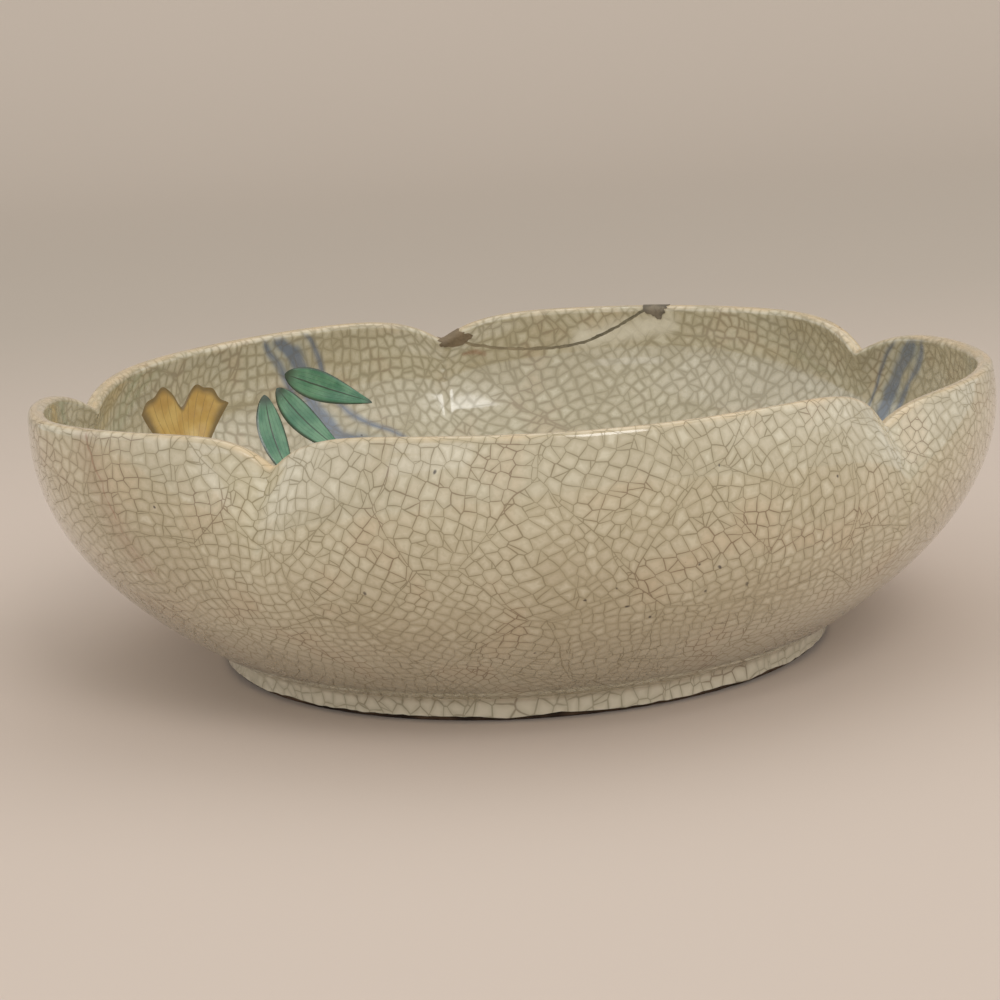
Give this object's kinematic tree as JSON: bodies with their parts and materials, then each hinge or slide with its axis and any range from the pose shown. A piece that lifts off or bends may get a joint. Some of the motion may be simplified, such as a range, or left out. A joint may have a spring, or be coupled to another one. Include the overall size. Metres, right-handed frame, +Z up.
{
  "type": "deep bowl",
  "caption": "Deep petal-rimmed stoneware bowl on a low foot ring, with crazed glaze, enamel patches and a mended rim.",
  "frame": {"origin": "on the foot ring's axis, at the height of the surface that the bowl stands on", "axes": "+Z up through the mouth; the view of the picture looks along +Y, with +X to its right"},
  "size_m": [0.1984, 0.196, 0.0612],
  "materials": {
    "clay": "fired stoneware, matt",
    "foot_clay": "bare fired clay, dark and matt",
    "glaze": "crazed cream-grey glaze, soft gloss",
    "adhesive": "set adhesive, dull",
    "filler": "dark mending filler, dull",
    "green_enamel": "green overglaze enamel, glossy",
    "yellow_enamel": "yellow overglaze enamel, soft gloss"
  },
  "bodies": {
    "root": {"thrown_body": "clay", "foot_ring": "foot_clay", "glaze_coat": "glaze", "foot_well_glaze": "glaze", "rim_shard": "clay", "rim_shard_glaze": "glaze", "repair_seam": "adhesive", "repair_fill_crest": "filler", "repair_fill_notch": "filler", "ginkgo_enamel_1": "yellow_enamel", "ginkgo_enamel_2": "yellow_enamel", "bamboo_enamel_1": "green_enamel", "bamboo_enamel_2": "green_enamel", "bamboo_enamel_3": "green_enamel", "bamboo_enamel_4": "green_enamel", "bamboo_enamel_5": "green_enamel"}
  },
  "joints": []
}
